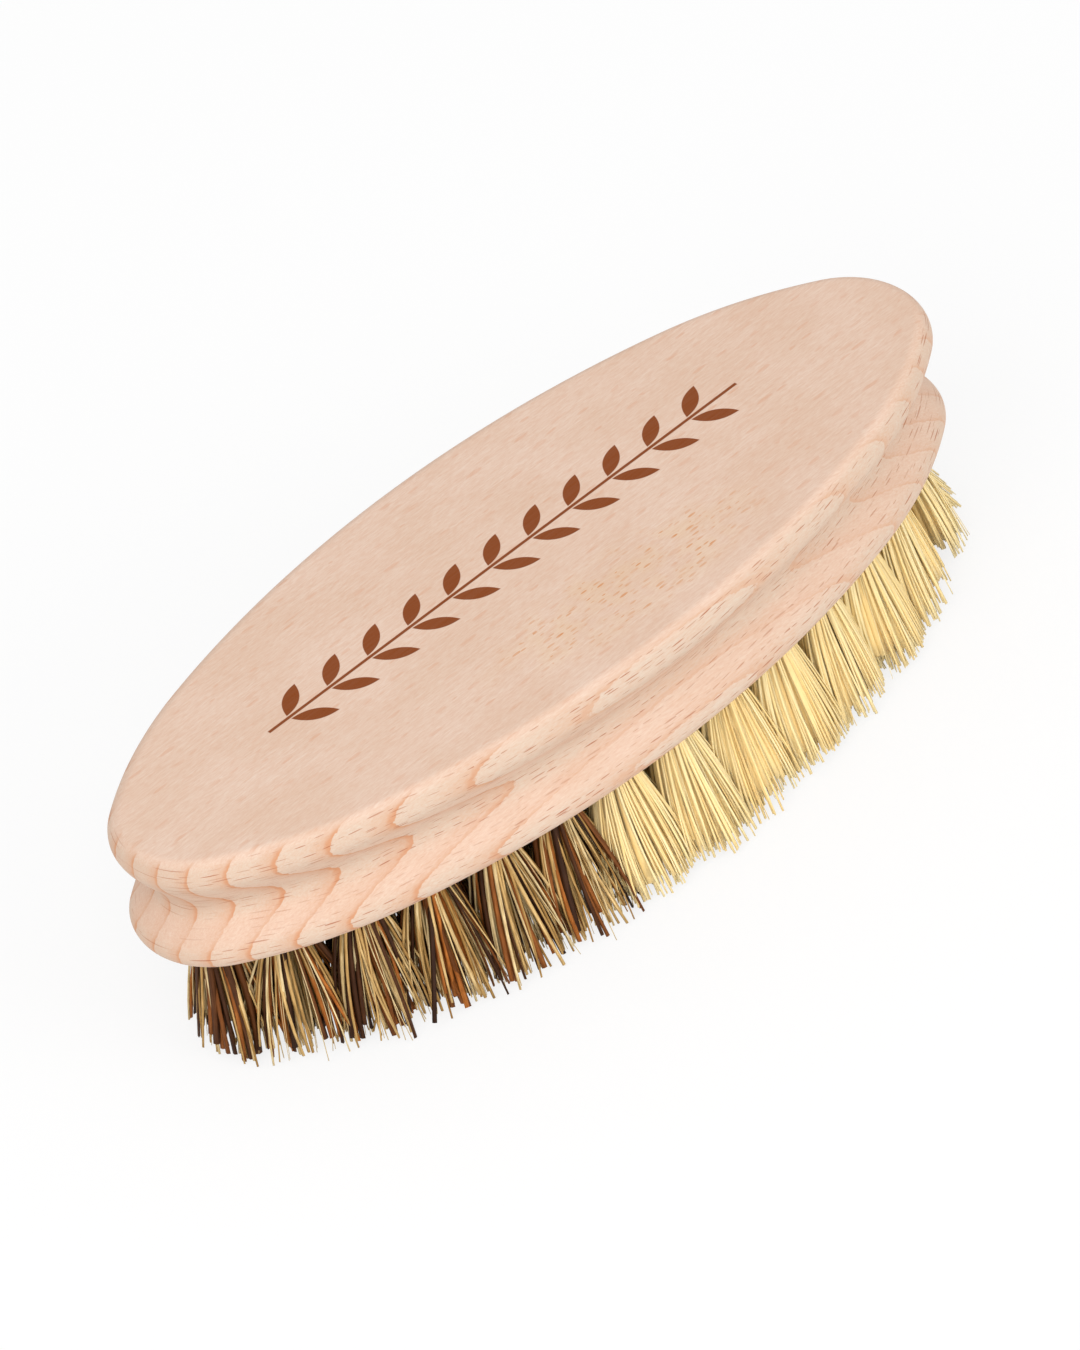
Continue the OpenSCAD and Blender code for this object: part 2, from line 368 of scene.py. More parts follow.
def fan_quads(ring_start, count, upward):
    """Four-sided faces that close a ring across the middle: strips between its two halves."""
    left = ring_start + np.arange(count // 2 - 1)
    right = ring_start + count - 1 - np.arange(count // 2 - 1)
    strips = np.stack([left, left + 1, right - 1, right], -1)
    return strips if upward else strips[:, ::-1]


shell_points, shell_rows = block_points()
last_ring = (shell_rows - 1) * POINTS_ROUND
shell_quads = np.concatenate([
    grid_quads(shell_rows, POINTS_ROUND),
    fan_quads(0, POINTS_ROUND, False),
    fan_quads(last_ring, POINTS_ROUND, True)])
block_shell = mesh_object("block_shell", shell_points, shell_quads)
print("faces of the shell:", len(block_shell.data.polygons))

# %% [markdown]
# ## Where the tufts stand
# The holes lie at even distances along two ellipses, with one straight row in the middle, and
# the outer ones lean outwards so that the fibres spread. Their places could be read from the
# frame's boxes, but the lean couldn't, so the rule of the exact model is worked out again. The
# print measures how far the two are apart.

# %% Rows of tufts
OUTER_INSET, OUTER_END_INSET = 6.8 * MM, 9.5 * MM
ROW_GAP, ROW_END_GAP = 9.0 * MM, 10.0 * MM
OUTER_COUNT, INNER_COUNT, MIDDLE_COUNT = 27, 20, 6
MIDDLE_PITCH = 10.8 * MM
OUTER_LEAN, INNER_LEAN = math.radians(10), math.radians(5)
OUTER_BEND, INNER_BEND = 1.0 * MM, 0.5 * MM
HOLE_D, HOLE_DEPTH = 5.4 * MM, 11.0 * MM
FIBRE_L = BASE_Z
FINE_POINTS = 2001


def ellipse_row(half, count, phase):
    """Even steps along an ellipse, as x, y and the direction outwards: running lengths of a fine
    polygon are read backwards to find the turn of each step."""
    fine = np.linspace(0, 2 * math.pi, FINE_POINTS)
    walk = np.hypot(*np.diff([half[0] * np.cos(fine), half[1] * np.sin(fine)], axis=1))
    run = np.concatenate([[0], np.cumsum(walk)])
    at = np.interp((np.arange(count) + phase) / count * run[-1], run, fine)
    outward = np.arctan2(half[0] * np.sin(at), half[1] * np.cos(at))
    return np.column_stack([half[0] * np.cos(at), half[1] * np.sin(at), outward])


outer_half = np.array([HALF_L - OUTER_END_INSET, HALF_W - OUTER_INSET])
inner_half = outer_half - [ROW_END_GAP, ROW_GAP]
middle_x = (np.arange(MIDDLE_COUNT) - (MIDDLE_COUNT - 1) / 2) * MIDDLE_PITCH
rows = {
    "outer": (ellipse_row(outer_half, OUTER_COUNT, 0.5), OUTER_LEAN, OUTER_BEND),
    "inner": (ellipse_row(inner_half, INNER_COUNT, 0.0), INNER_LEAN, INNER_BEND),
    "middle": (np.column_stack([middle_x, middle_x * 0, middle_x * 0]), 0.0, 0.0),
}
tufts = [(f"{label}_tuft_{k + 1:02d}", *spot, lean, bend)
         for label, (row, lean, bend) in rows.items() for k, spot in enumerate(row)]


def model_gap(tuft):
    """How far the middle of a tuft's tips lies from the middle of its solid's box."""
    name, x, y, facing, lean, bend = tuft
    low, high = (np.array(corner[:2]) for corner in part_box(name))
    half_out = (FIBRE_L * math.tan(lean) + bend) / 2
    aim = np.array([x, y]) + half_out * np.array([math.cos(facing), math.sin(facing)])
    return float(np.hypot(*((low + high) / 2 - aim)))


print("farthest tuft from its solid, mm:", round(max(map(model_gap, tufts)) / MM, 2))

# %% [markdown]
# ## Drilled holes
# From below, the mouths of the holes show round the roots of the tufts. Dark discs would do from
# far away, but not from near by, so the holes are drilled. One cutter holds all 53 drills, each
# a closed tube that leans as its hole does, and a single boolean takes them out of the shell.

# %% Drill the block
DRILL_SIDES = 32
BELOW_MOUTH = 1 * MM


def drill_points(tuft):
    """A leaning cylinder: two circles, one below the mouth and one at the bottom of the hole."""
    _, x, y, facing, lean, _ = tuft
    around = np.linspace(0, 2 * math.pi, DRILL_SIDES, endpoint=False)
    circle = np.column_stack([np.cos(around), np.sin(around), 0 * around]) * HOLE_D / 2
    rings = [circle + [0, 0, -BELOW_MOUTH], circle + [0, 0, HOLE_DEPTH]]
    tilt = Matrix.Rotation(facing, 3, "Z") @ Matrix.Rotation(-lean, 3, "Y")
    return np.concatenate(rings) @ np.array(tilt).T + [x, y, BASE_Z]


drill_quads = np.concatenate([
    grid_quads(2, DRILL_SIDES),
    fan_quads(0, DRILL_SIDES, False),
    fan_quads(DRILL_SIDES, DRILL_SIDES, True)])
drills = mesh_object(
    "drills",
    np.concatenate([drill_points(tuft) for tuft in tufts]),
    np.concatenate([drill_quads + 2 * DRILL_SIDES * k for k in range(len(tufts))]))

cut = block_shell.modifiers.new("holes", "BOOLEAN")
cut.operation = "DIFFERENCE"
cut.solver = "EXACT"
cut.object = drills
drilled = bpy.data.meshes.new_from_object(
    block_shell.evaluated_get(bpy.context.evaluated_depsgraph_get()))
drilled.name = "beech_block"
block = add_object("beech_block", drilled)
for used in (block_shell, drills):
    bpy.data.objects.remove(used)
print("faces of the drilled block:", len(drilled.polygons))

# %% [markdown]
# ## Groups for plant fibre and wood
# Wood, stalks and hairs are all plant fibre: long cells side by side, with a tone that drifts
# slowly from place to place. Pictures of them would show seams, so the patterns are worked out
# from the place. What several finishes share is built once, as a group. "Drift" is a slow change
# of tone, for the wood, the fibres and the wire. "Strands" gives fine streaks, for the wood and
# the fibres. "Dashes" scatters short marks, and the wood uses it three times, for its rays, its
# flecks and a golden patch. Each takes a place and returns plain values.

# %% Shared groups
PLACE = ("NodeSocketVector", (0, 0, 0))
VALUE = "NodeSocketFloat"


def drift_group():
    """Slow change of tone over the surface: noise whose middle part, from 0.3 to 0.7, is spread
    over 0 to 1."""
    inputs = {"Place": PLACE, "Size": (VALUE, 30.0)}
    tree, w, given, put = new_group("Drift", inputs, {"Value": VALUE})
    noise = w.noise(given["Place"], w.math("DIVIDE", 1.0, given["Size"]), 2.0)
    w.feed(put, {"Value": w.step(noise, 0.3, 0.7)})
    return tree


def strands_group():
    """Fine streaks along X: noise on a place that is divided by a length along the fibre and by
    a width across it, and its middle half is spread over 0 to 1."""
    inputs = {"Place": PLACE, "Length": (VALUE, 12.0), "Width": (VALUE, 0.3)}
    tree, w, given, put = new_group("Strands", inputs, {"Value": VALUE})
    size = w.join(given["Length"], given["Width"], given["Width"])
    noise = w.noise(w.vector("DIVIDE", given["Place"], size), 1.0, 3.0, 0.6)
    w.feed(put, {"Value": w.step(noise, 0.25, 0.75)})
    return tree


def dashes_group():
    """Scattered dashes, one round the own point of each cell of a Voronoi pattern. A place lies
    in the dash when its three distances from that point, each divided by a half size, have
    squares that add up to less than 1. One dice of the cell shrinks its dash, at most to 0.3 of
    the size, and another is given out."""
    inputs = {
        "Place": PLACE,
        "Cell": ("NodeSocketVector", (4, 9, 1)),
        "Half": ("NodeSocketVector", (1.5, 6, 0.1))}
    tree, w, given, put = new_group("Dashes", inputs, {"Value": VALUE, "Dice": VALUE})
    squeezed = w.vector("DIVIDE", given["Place"], given["Cell"])
    cells = w.node("ShaderNodeTexVoronoi", {"Vector": squeezed, "Scale": 1.0}).outputs
    dice = w.node("ShaderNodeSeparateColor", {0: cells["Color"]}).outputs
    away = w.vector("SUBTRACT", squeezed, cells["Position"])
    away = w.vector("MULTIPLY", away, given["Cell"])
    away = w.vector("DIVIDE", away, given["Half"])
    shrink = w.line(dice[0], 0.7, 0.3)
    value = w.step(w.math("DIVIDE", w.length(away), shrink), 1.0, 0.6)
    w.feed(put, {"Value": value, "Dice": dice[1]})
    return tree


DRIFT = drift_group()
STRANDS = strands_group()
DASHES = dashes_group()
print("shader groups:", [tree.name for tree in (DRIFT, STRANDS, DASHES)])

# %% [markdown]
# ## Growth layers
# Beech is pinkish and plain. Its growth layers lie one behind another across the block: each
# darkens slowly and ends in a sharp edge. Stripes on the sides wouldn't bend with the groove, so
# the layers are sheets in space, and the surface shows its own cut through them: tongues, where
# the moulded edge cuts them at the ends.

# %% Growth layers
LAYERS_PER_MM = 0.2665
LAYER_TILT = 0.00022
LAYER_THINNING = 0.0019
LAYER_START = 0.03
WAVER_SCALE, WAVER = 0.05, 0.25
RIPPLE_SCALE, RIPPLE = 1.1, 0.16
LATE_SLOW, LATE_SHARP = 0.46, 0.46
LATE_BY_MIDDLE = 0.45


def late_wood(w, place, axis):
    """How much a place is late wood. The count of layers is the place along Y, from +Y to -Y,
    times the layers in a millimetre, which change a little with X and Y, plus a slow waver and a
    fine ripple. In one layer the share rises slowly from 0.4 of it on and fast from 0.84 on, and
    it drops at its end. Away from the -X end the late wood is fainter."""
    density = w.line(axis[1], -LAYER_THINNING, LAYERS_PER_MM)
    density = w.line(axis[0], LAYER_TILT, density)
    count = w.line(axis[1], w.times(density, -1.0), LAYER_START)
    waver = w.math("SUBTRACT", w.noise(place, WAVER_SCALE, 1.0), 0.5)
    ripple = w.math("SUBTRACT", w.noise(place, RIPPLE_SCALE, 4.0), 0.5)
    count = w.line(ripple, RIPPLE, w.line(waver, WAVER, count))
    layer = w.math("FRACT", count)
    late = w.times(w.step(layer, 0.4, 1.0), LATE_SLOW)
    late = w.line(w.step(layer, 0.84, 0.97), LATE_SHARP, late)
    late = w.times(late, w.step(layer, 1.0, 0.975))
    at_end = w.step(axis[0], -5.0, -50.0)
    return w.times(late, w.line(at_end, 1 - LATE_BY_MIDDLE, LATE_BY_MIDDLE))


print("growth layers across the block:", round(2 * HALF_W / MM * LAYERS_PER_MM))

# %% [markdown]
# ## Rays, flecks and the golden patch
# Rays are thin ribbons that run through beech. On the long sides they are cut to short dark
# dashes along the grain, and on the back to broad pale orange flecks. One pattern in space could
# give both, but its sizes couldn't be set apart, so each has its own dashes and fades out where
# the other belongs. The back also has a patch of golden flecks on slightly yellower wood.

# %% Marks of the wood
RAY_CELL, RAY_HALF = (2.7, 8.0, 0.72), (1.5, 9.0, 0.088)
RAY_SWAY_SCALE, RAY_SWAY = 0.06, 1.6
FLECK_CELL, FLECK_HALF = (4.6, 2.3, 60.0), (1.7, 0.4, 900.0)
FLECK_SHARE = 0.34
GOLD_CELL, GOLD_HALF = (2.0, 1.0, 60.0), (1.0, 0.26, 900.0)
PATCH_MIDDLE = (5.0, -14.0, 0.0)
PATCH_SIZES = (1 / 24, 1 / 7.5, 0.0)
PATCH_CLUSTER = 3.5


def ray_share(w, place, axis, flat_on):
    """How much a place lies in a ray: the dash of its cell, which a slow sway lifts and lowers,
    at a strength from the cell's dice, and only where the surface is upright."""
    sway = w.noise(place, RAY_SWAY_SCALE, 0.0)
    swayed = w.join(axis[0], axis[1], w.line(sway, RAY_SWAY, axis[2]))
    dash, dice = w.group(DASHES, Place=swayed, Cell=RAY_CELL, Half=RAY_HALF)
    upright = w.step(flat_on, 0.92, 0.55)
    return w.times(w.times(dash, upright), w.line(dice, 0.55, 0.35))


def fleck_share(w, place, flat_on):
    """How much a place lies in a fleck: the dash of its cell, where the surface is level."""
    dash, dice = w.group(DASHES, Place=place, Cell=FLECK_CELL, Half=FLECK_HALF)
    level = w.step(flat_on, 0.75, 0.97)
    return w.times(w.times(dash, level), w.times(dice, FLECK_SHARE))


def golden_patch(w, place, axis):
    """How much a place lies in the patch, and in one of its flecks. The patch is an ellipse on
    the back, with a soft edge, and a fine drift breaks it into clusters."""
    away = w.vector("MULTIPLY", w.vector("SUBTRACT", place, PATCH_MIDDLE), PATCH_SIZES)
    inside = w.times(w.step(w.length(away), 1.15, 0.5), w.step(axis[2], 20.0, 30.0))
    inside = w.times(inside, w.group(DRIFT, Place=place, Size=PATCH_CLUSTER)[0])
    dash, dice = w.group(DASHES, Place=place, Cell=GOLD_CELL, Half=GOLD_HALF)
    return inside, w.times(w.times(dash, w.line(dice, 0.7, 0.3)), inside)


print("widest ray on the sides, mm:", 2 * RAY_HALF[2])

# %% [markdown]
# ## A burnt sprig
# A plain sprig of leaves is burnt into the back. It could be a thin mesh on the wood, but a burn
# has no thickness, so it is a mask in the wood's own material, worked out from the place. The
# burnt wood is brown and lies a little lower.

# %% Mask of the sprig
SPRIG_Y = 3.0
SPRIG_HALF = 38.5
SPRIG_PITCH = 7.0
SPRIG_SLANT = math.radians(38)
LEAF_OUT = 2.3
LEAF_HALF = 3.1
LEAF_WIDE = 1.1
# Where the masks of the leaf and of the stem go from 0 to 1
LEAF_EDGE = -0.04, 0.08
STEM_EDGE = 0.3, 0.18
STEM_PAST = 2.5


def sprig_mask(w, axis):
    """The burnt sprig along the back, 1 inside it. Its stem is a narrow strip. Leaves repeat
    along it at an even pitch on both sides, so one leaf is worked out, with its place turned by
    its slant: it is as wide as half its width times 1 less the square of the share of its half
    length."""
    along, side = axis[0], w.math("ABSOLUTE", w.math("SUBTRACT", axis[1], SPRIG_Y))
    pitch_share = w.math("FRACT", w.line(along, 1 / SPRIG_PITCH, 0.5))
    p = w.times(w.math("SUBTRACT", pitch_share, 0.5), SPRIG_PITCH)
    q = w.math("SUBTRACT", side, LEAF_OUT)
    cos, sin = math.cos(SPRIG_SLANT), math.sin(SPRIG_SLANT)
    long_way = w.line(p, cos, w.times(q, sin))
    wide_way = w.line(q, cos, w.times(p, -sin))
    share = w.times(long_way, 1 / LEAF_HALF)
    room = w.times(w.line(w.times(share, share), -1.0, 1.0), LEAF_WIDE)
    inside = w.math("SUBTRACT", room, w.math("ABSOLUTE", wide_way))
    reach = w.math("ABSOLUTE", along)
    leaf = w.times(w.step(inside, *LEAF_EDGE), w.step(reach, SPRIG_HALF, SPRIG_HALF - 0.05))
    stem_end = SPRIG_HALF + STEM_PAST
    stem = w.times(w.step(side, *STEM_EDGE), w.step(reach, stem_end, stem_end - 0.2))
    return w.math("MAXIMUM", leaf, stem)


print("leaves on each side:", round(2 * SPRIG_HALF / SPRIG_PITCH))

# %% [markdown]
# ## Beech
# One noise would give the right mean colour and look like card. The wood starts from two pale
# tones that drift into each other, and every figure is mixed in by its own share: streaks and
# pores along the grain, the layers, the end grain, the marks and the burn.

# %% Beech material
GRAIN_PALE = linear(228, 205, 188)
GRAIN_TAN = linear(223, 198, 179)
# The sides' tone is partly the wood's own colour there and partly painted shade: darker than the
# top, to offset the stronger lamp light on upright faces.
SIDE_GRAIN_AND_SHADE = linear(208, 192, 175)
LATE_WOOD = linear(198, 138, 98)
RAY_DARK = linear(164, 96, 64)
FLECK = linear(208, 148, 112)
FLECK_GOLD = linear(202, 128, 68)
STAIN = linear(224, 192, 146)
END_GRAIN = linear(214, 172, 144)
BURNT = linear(129, 62, 14)
STREAK_SHARE, PORE_SHARE = 0.16, 0.32
END_SHARE, STAIN_SHARE = 0.25, 0.22
BURN_STREAK = 0.03


def beech_material():
    """Beech worked out from the place in the block, in millimetres. Its bump is the streaks,
    half the pores, less the rays and the burn."""
    material, shader, w = new_material("beech")
    place, normal = w.surface()
    axis = w.split(place)
    facing = w.split(normal)
    flat_on = w.math("ABSOLUTE", facing[2])
    end_on = w.math("POWER", w.math("ABSOLUTE", facing[0]), 2.0)
    streak = w.group(STRANDS, Place=place, Length=9.0, Width=0.35)[0]
    pores = w.group(STRANDS, Place=place, Length=1.1, Width=0.15)[0]
    late = w.times(late_wood(w, place, axis), w.step(flat_on, 1.03, 0.5))
    rays = ray_share(w, place, axis, flat_on)
    in_patch, gold = golden_patch(w, place, axis)
    burn = w.times(sprig_mask(w, axis), w.step(axis[2], 30.0, 32.0))

    colour = w.mix(w.group(DRIFT, Place=place, Size=11.0)[0], GRAIN_PALE, GRAIN_TAN)
    # Upright faces take the side tone: partly wood colour, partly painted shade that offsets the
    # lamp light on the flanks.
    colour = w.mix(w.step(flat_on, 0.95, 0.4), colour, SIDE_GRAIN_AND_SHADE)
    for strands, share in ((streak, STREAK_SHARE), (pores, PORE_SHARE)):
        colour = w.mix(w.times(w.math("SUBTRACT", 1.0, strands), share), colour, LATE_WOOD)
    colour = w.mix(late, colour, LATE_WOOD)
    colour = w.mix(w.times(end_on, END_SHARE), colour, END_GRAIN)
    colour = w.mix(fleck_share(w, place, flat_on), colour, FLECK)
    colour = w.mix(w.times(in_patch, STAIN_SHARE), colour, STAIN)
    colour = w.mix(gold, colour, FLECK_GOLD)
    colour = w.mix(rays, colour, RAY_DARK)
    colour = w.mix(w.times(burn, w.line(streak, -BURN_STREAK, 1.0)), colour, BURNT)

    height = w.line(rays, -1.2, w.line(pores, 0.5, streak))
    height = w.line(burn, -3.0, height)
    bump = w.node("ShaderNodeBump", {"Strength": 0.3, "Distance": 0.04 * MM, "Height": height})
    w.feed(shader, {
        "Base Color": colour, "Normal": bump.outputs[0],
        "Roughness": w.line(streak, 0.08, 0.52), "Specular IOR Level": 0.15})
    return material


block.data.materials.clear()
block.data.materials.append(beech_material())
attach(block, "root")
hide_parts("block")
print("nodes in the wood:", len(block.data.materials[0].node_tree.nodes))

# %% [markdown]
# ## Fibres
# A tuft is a bundle of plant fibres folded in two over a wire and driven into its hole. Blender
# can grow hair, but hair is no mesh, so every fibre is a thin closed tube. It leaves the hole at
# its own place, spreads away from the tuft's middle as it goes down, leans and bends with its
# tuft, and has a small bend of its own. All fibres of a tuft are worked out in one go: an array
# with one row for each fibre, one column for each ring along it and one place for each side of
# its section. Two maps go with the surface. "fibre" holds the tone of the fibre and how far
# along it a point lies, and "skin" runs round it.
#
# No two outer tufts hang alike. A table says how many times the lean of its hole such a tuft
# has, by the direction that it faces. The two at the +X end are turned a little and open faster.

# %% Middle lines of the fibres
rng = np.random.default_rng(20)
RINGS, SIDES = 7, 4
ROOT_IN_HOLE = 1.5 * MM
HANG_FACING = np.radians([-180, -126, -111, -96, -78, -60, -36, 36, 96, 111, 126, 180])
HANG = [0.0, 0.45, 0.9, 1.25, 0.72, 0.55, 0.65, 2.4, 1.0, 0.4, -0.6, 0.0]
WANDER_OUT = 0.9 * MM
# Outer tufts that face +X within a turn: their new facing at -Y and at +Y, and what their splay
# outwards and their power are multiplied by
END_TURN = math.radians(40)
END_FACING = math.radians(4), math.radians(-22)
END_SPLAY, END_POWER = 0.78, 1.6


def fibre_paths(tuft, start, length, wander, splay_out, splay_along, power):
    """Middle lines of the fibres: the hole's place, plus the lean and the bend outwards, plus
    the fibre's own place times the spread, plus its own sideways bend, whose outward part is
    limited. The spread opens quickly below the hole and slowly after: its share of the splay is
    1 less a power of the length that is still to go. It is wider along the row than outwards, so
    that neighbours meet."""
    name, x, y, facing, lean, bend = tuft
    if name.startswith("outer"):
        lean *= np.interp(facing, HANG_FACING, HANG)
        if abs(facing) < END_TURN:
            facing = END_FACING[y > 0]
            splay_out *= END_SPLAY
            power *= END_POWER
    outward = np.array([math.cos(facing), math.sin(facing)])
    wander = wander - np.maximum(wander @ outward - WANDER_OUT, 0)[:, None] * outward
    along = np.linspace(0, 1, RINGS)[None, :]
    depth = along * (length[:, None] + ROOT_IN_HOLE) - ROOT_IN_HOLE
    share = np.clip(depth / FIBRE_L, 0, 1)
    drawn = depth * math.tan(lean) + bend * share ** 2
    opened = (1 - (1 - share) ** power)[..., None]
    start_out = (start @ outward)[:, None] * outward
    side = ((start[:, None, :] * (1 + (splay_along - 1) * opened))
            + start_out[:, None, :] * ((splay_out - splay_along) * opened)
            + drawn[..., None] * outward + wander[:, None, :] * (share ** 1.4)[..., None])
    points = np.empty((len(start), RINGS, 3))
    points[..., :2] = [x, y] + side
    points[..., 2] = BASE_Z - depth
    return points


print("greatest lean, degrees:", round(math.degrees(OUTER_LEAN) * max(HANG), 1))

# %% Surfaces of the fibres
def fibre_tubes(paths, width, thickness, twist, taper):
    """Surfaces round the middle lines: a flattened four-sided section, square to the line,
    turned by the fibre's own twist and growing thinner along it by its taper."""
    tangent = np.gradient(paths, axis=1)
    tangent /= np.linalg.norm(tangent, axis=-1, keepdims=True)
    side = np.cross(tangent, [0.0, 1.0, 0.0])
    side /= np.linalg.norm(side, axis=-1, keepdims=True)
    other = np.cross(tangent, side)
    along = np.linspace(0, 1, paths.shape[1])
    angle = (np.arange(SIDES) / SIDES * 2 * math.pi)[None, :]
    spin = twist[:, 0, None] + twist[:, 1, None] * along
    half = 0.5 * (1 - taper[:, None] * along)
    across = half[..., None] * width[:, None, None] * np.cos(angle)
    through = half[..., None] * thickness[:, None, None] * np.sin(angle)
    cos, sin = np.cos(spin)[..., None], np.sin(spin)[..., None]
    u, v = across * cos - through * sin, across * sin + through * cos
    return (paths[:, :, None, :] + u[..., None] * side[:, :, None, :]
            + v[..., None] * other[:, :, None, :])


def tuft_object(name, tubes, tone, grain=1.0):
    """One mesh for all tubes of a tuft, each closed at both ends. The map "fibre" is the tone of
    the tube and the share of its length. The map "skin" counts the sides round it, times the
    grain, which says how many times finer the streaks of that tube are."""
    count, rings, sides = tubes.shape[:3]
    ends = np.array([[3, 2, 1, 0], (rings - 1) * sides + np.arange(4)])
    one = np.concatenate([grid_quads(rings, sides), ends])
    quads = (one[None] + (np.arange(count) * rings * sides)[:, None, None]).reshape(-1, 4)
    piece = mesh_object(name, tubes.reshape(-1, 3), quads)
    corner = quads.ravel()
    ring = corner // sides % rings
    around = (np.arange(len(one))[:, None] % sides + [0, 1, 1, 0]).ravel()
    around = (np.broadcast_to(grain, count)[:, None] * around).ravel()
    charts = {"fibre": (tone[corner // (sides * rings)], ring / (rings - 1)),
              "skin": (around, around)}
    for label, chart in charts.items():
        layer = piece.data.uv_layers.new(name=label)
        layer.data.foreach_set("uv", np.column_stack(chart).astype(np.float32).ravel())
    return piece


print("faces of one fibre:", len(grid_quads(RINGS, SIDES)) + 2)

# %% Places and twists in a tuft
FACING_CHANGE, FACING_SPREAD = 0.3, 0.35


def disc(count, radius, power=0.5):
    """Scatter over a disc: a power of an even draw gives the distance from the middle. A root
    spreads them evenly, and a smaller power brings them nearer to the edge."""
    away = radius * rng.random(count) ** power
    turn = rng.random(count) * 2 * math.pi
    return np.column_stack([away * np.cos(turn), away * np.sin(turn)])


def keep_inside(start, radius):
    """Places farther from the middle than the radius are drawn in to it."""
    away = np.linalg.norm(start, axis=1, keepdims=True)
    return start * np.minimum(1, radius / np.maximum(away, 1e-9))


def face_out(start):
    """Twists that set the broad way of a fibre square to its direction from the tuft's middle,
    so that a flat side faces outwards, give or take: a turn at its root and a change along it."""
    turn = np.arctan2(-start[:, 0], -start[:, 1])
    change = rng.normal(0, FACING_CHANGE, len(start))
    spread = rng.normal(0, FACING_SPREAD, (len(start), 1)) * [1, 0]
    return np.column_stack([turn, change]) + spread


print("place (3, 4) kept within 1:", keep_inside(np.array([[3.0, 4.0]]), 1.0)[0])

# %% [markdown]
# ## Soft tufts
# Soft plant fibre is fine and clings together in locks. If every fibre took a bend of its own,
# the tuft would look like a wire brush, so the fibres of a lock share a place, a bend, a length
# and a tone, and each adds a little of its own. A few stray from their lock, as thin as hairs.
#
# A full tuft has far more fibres than can be modelled, and light goes back and forth between
# them. With only a few hundred the gaps would be black. Inside them a ring of broad flat strips,
# each for a whole layer of fibres, ends short of the tips, and light comes back from it.

# %% Soft tufts
SOFT_COUNT, LOCKS, CORE_COUNT = 300, 20, 36
SOFT_RADIUS = HOLE_D / 2 - 0.2 * MM
SOFT_SPREAD = 1.8, 2.6, 1.7
SOFT_CLEAR = 0.25 * MM
SOFT_WIDTH_MM, SOFT_STRAY_MM = (0.28, 0.54), 0.14
SOFT_FLATNESS, SOFT_TAPER = 0.6, 0.2
SOFT_STRAY_SHARE, SOFT_STRAY = 0.07, 1.1 * MM
LOCK_INSET, LOCK_POWER, LOCK_SCATTER = 0.2 * MM, 0.3, 0.55 * MM
LOCK_WANDER, OWN_WANDER = 0.5 * MM, 0.3 * MM
LOCK_CUT, OWN_CUT = 0.7 * MM, 0.6 * MM
LOCK_TONE, OWN_TONE = 0.6, 0.4
CORE_RING, CORE_SHORT_MM, CORE_WIDTH_MM = 0.8, (2.5, 4.0), (0.5, 0.7)
# The strips' tones are kept to the dark end of the ramp: painted shade for the self-shadowing that
# a flat strip lacks.
CORE_FLATNESS, CORE_TAPER, CORE_SHADED_TONE, CORE_GRAIN = 0.3, -1.6, 0.3, 5.0


def lock_fibres(tuft):
    """The fine fibres of a soft tuft, as tubes and tones: each draw for a lock is handed to its
    fibres, and a draw of their own is added to it."""
    lock = rng.integers(LOCKS, size=SOFT_COUNT)
    stray = rng.random(SOFT_COUNT) < SOFT_STRAY_SHARE
    start = disc(LOCKS, SOFT_RADIUS - LOCK_INSET, LOCK_POWER)[lock]
    start = start + rng.normal(0, LOCK_SCATTER, (SOFT_COUNT, 2))
    wander = rng.normal(0, LOCK_WANDER, (LOCKS, 2))[lock]
    wander = wander + rng.normal(0, OWN_WANDER, (SOFT_COUNT, 2))
    wander[stray] += rng.normal(0, SOFT_STRAY, (stray.sum(), 2))
    cut = np.abs(rng.normal(0, LOCK_CUT, LOCKS))[lock]
    cut = cut + np.abs(rng.normal(0, OWN_CUT, SOFT_COUNT))
    length = FIBRE_L - SOFT_CLEAR - cut
    paths = fibre_paths(tuft, keep_inside(start, SOFT_RADIUS), length, wander, *SOFT_SPREAD)
    width = np.where(stray, SOFT_STRAY_MM, rng.uniform(*SOFT_WIDTH_MM, SOFT_COUNT)) * MM
    taper = np.full(SOFT_COUNT, SOFT_TAPER)
    tubes = fibre_tubes(paths, width, width * SOFT_FLATNESS, face_out(start), taper)
    return tubes, rng.random(LOCKS)[lock] * LOCK_TONE + rng.random(SOFT_COUNT) * OWN_TONE


def core_strips(tuft):
    """The broad strips inside a soft tuft, as tubes and tones. They start at even steps round a
    ring, give or take, end short of the tips and grow broader on the way, because their taper is
    negative. Their tones lie at the dark end of the ramp: painted shade, for the shade among
    fibres that a flat strip doesn't cast."""
    turn = (np.arange(CORE_COUNT) + rng.random(CORE_COUNT)) / CORE_COUNT * 2 * math.pi
    start = np.column_stack([np.cos(turn), np.sin(turn)]) * CORE_RING * SOFT_RADIUS
    length = FIBRE_L - rng.uniform(*CORE_SHORT_MM, CORE_COUNT) * MM
    paths = fibre_paths(tuft, start, length, start * 0, *SOFT_SPREAD)
    width = rng.uniform(*CORE_WIDTH_MM, CORE_COUNT) * MM
    taper = np.full(CORE_COUNT, CORE_TAPER)
    tubes = fibre_tubes(paths, width, width * CORE_FLATNESS, face_out(start), taper)
    return tubes, CORE_SHADED_TONE * rng.random(CORE_COUNT)


def soft_tuft(tuft):
    """One piece for the fibres of a soft tuft and the strips inside them."""
    tubes, tones = zip(lock_fibres(tuft), core_strips(tuft))
    grain = np.repeat([1.0, CORE_GRAIN], [SOFT_COUNT, CORE_COUNT])
    return tuft_object(tuft[0] + "_fibres", np.concatenate(tubes), np.concatenate(tones), grain)


print("tubes in a soft tuft:", SOFT_COUNT + CORE_COUNT)

# %% [markdown]
# ## Stiff tufts
# The stiff mixture has broad flat dark stalks, with narrower straw-coloured fibres and pale
# hairs among them. They don't cling, so each goes its own way, and a few go far.
# Two meshes could hold the two kinds, but one is enough: tones under a half are stalks, and the
# others are straw.

